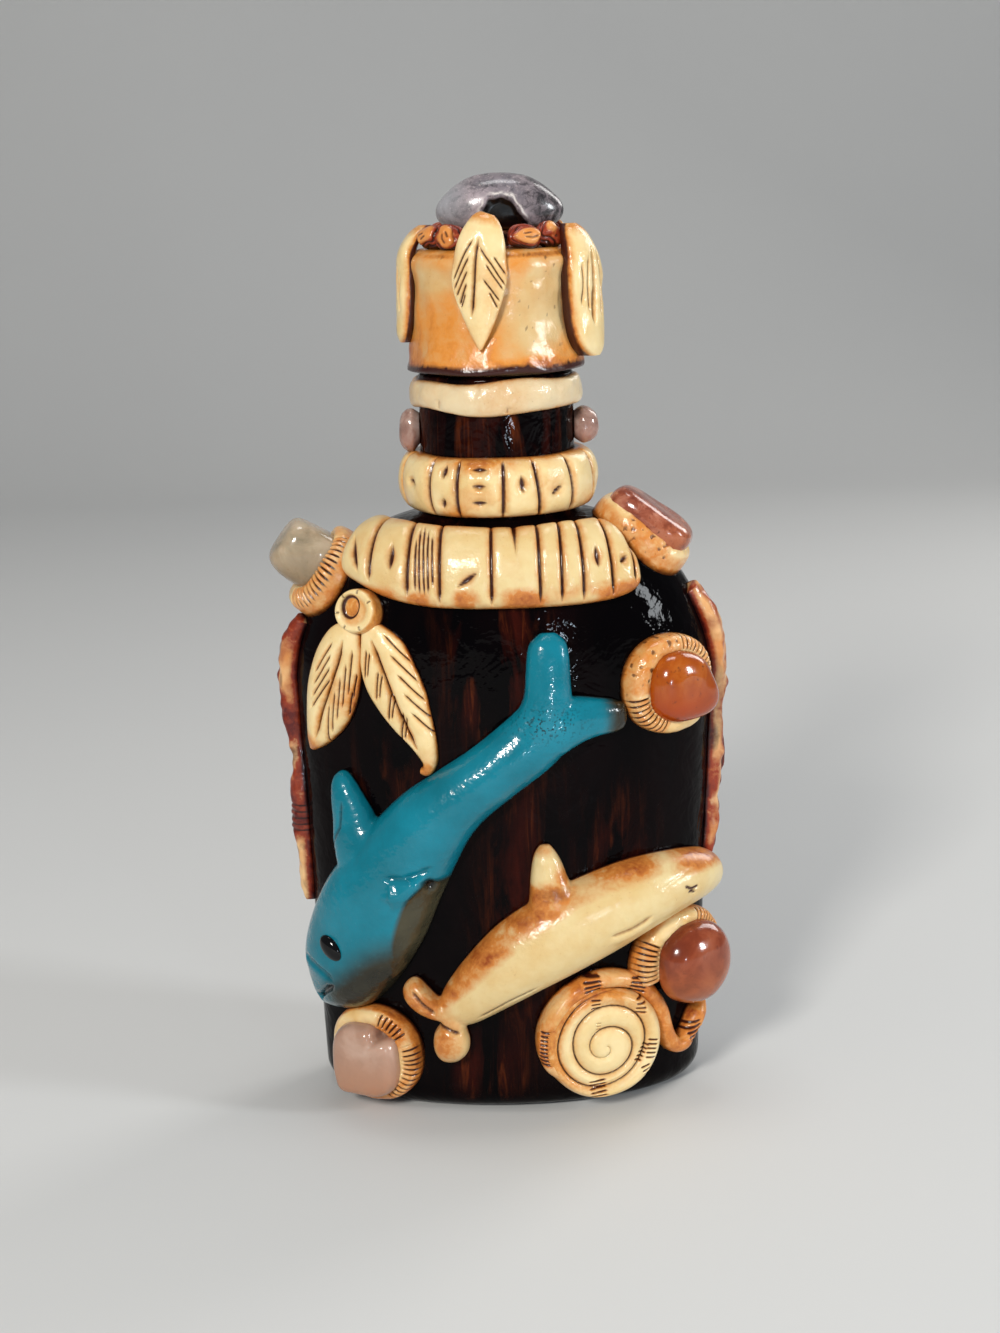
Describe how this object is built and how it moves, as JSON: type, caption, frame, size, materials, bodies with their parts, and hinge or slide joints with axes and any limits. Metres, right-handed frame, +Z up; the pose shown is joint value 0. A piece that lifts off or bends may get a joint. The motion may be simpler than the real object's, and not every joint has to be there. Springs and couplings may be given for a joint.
{
  "type": "decanter bottle",
  "caption": "Flat-sided dark glass decanter with a lift-out cork stopper under a clay cap, set all over with carved clay bands, leaves, dolphins, a spiral and tumbled stones.",
  "frame": {"origin": "centre of the flat base", "axes": "+Z up the bottle, front faces -Y, +X to the right"},
  "size_m": [0.1054, 0.0599, 0.2136],
  "materials": {
    "flask_glass": "dark brown, polished",
    "clay_ivory": "polymer clay, antiqued and varnished",
    "clay_amber": "polymer clay, antiqued and varnished",
    "clay_rust": "polymer clay, mottled and varnished",
    "clay_teal": "polymer clay, varnished",
    "eye_black": "polished",
    "stone_quartz": "tumbled",
    "stone_grey_green": "tumbled",
    "stone_jasper": "tumbled",
    "stone_carnelian": "tumbled",
    "stone_rose": "tumbled",
    "stone_dark_red": "tumbled",
    "stone_mauve": "tumbled",
    "cork": "natural cork",
    "head_wood": "plain"
  },
  "bodies": {
    "bottle": {"bottle_glass": "flask_glass", "neck_ring": "clay_ivory", "neck_band": "clay_ivory", "shoulder_band": "clay_ivory", "neck_stone_left": "stone_quartz", "neck_stone_right": "stone_quartz", "shoulder_stone_left": "stone_grey_green", "shoulder_bezel_left": "clay_amber", "shoulder_stone_right": "stone_jasper", "shoulder_bezel_right": "clay_amber", "side_stone_right": "stone_carnelian", "side_bezel_right": "clay_amber", "base_stone_left": "stone_rose", "base_bezel_left": "clay_amber", "base_stone_right": "stone_dark_red", "base_bezel_right": "clay_amber", "feather_button": "clay_ivory", "feather_left": "clay_ivory", "feather_right": "clay_ivory", "vine_left": "clay_rust", "vine_right": "clay_rust", "blue_dolphin_body": "clay_teal", "blue_dolphin_dorsal_fin": "clay_teal", "blue_dolphin_flipper": "clay_teal", "blue_dolphin_upper_fluke": "clay_teal", "blue_dolphin_right_fluke": "clay_teal", "blue_dolphin_eye": "eye_black", "cream_dolphin_body": "clay_ivory", "cream_dolphin_dorsal_fin": "clay_ivory", "cream_dolphin_left_fluke": "clay_ivory", "cream_dolphin_lower_fluke": "clay_ivory", "spiral_disc": "clay_ivory", "spiral_strap": "clay_amber"},
    "stopper": {"cork_shank": "cork", "stopper_head": "head_wood", "cap_shell": "clay_amber", "cap_bed": "clay_rust", "cap_pellets": "clay_rust", "cap_top_stone": "stone_mauve", "cap_leaf_front": "clay_ivory", "cap_leaf_right": "clay_ivory", "cap_leaf_back": "clay_ivory", "cap_leaf_left": "clay_ivory"}
  },
  "joints": [
    {"name": "stopper_pull", "type": "slide", "parent": "bottle", "child": "stopper", "axis": [0, 0, 1], "range_m": [0, 0.04]}
  ]
}
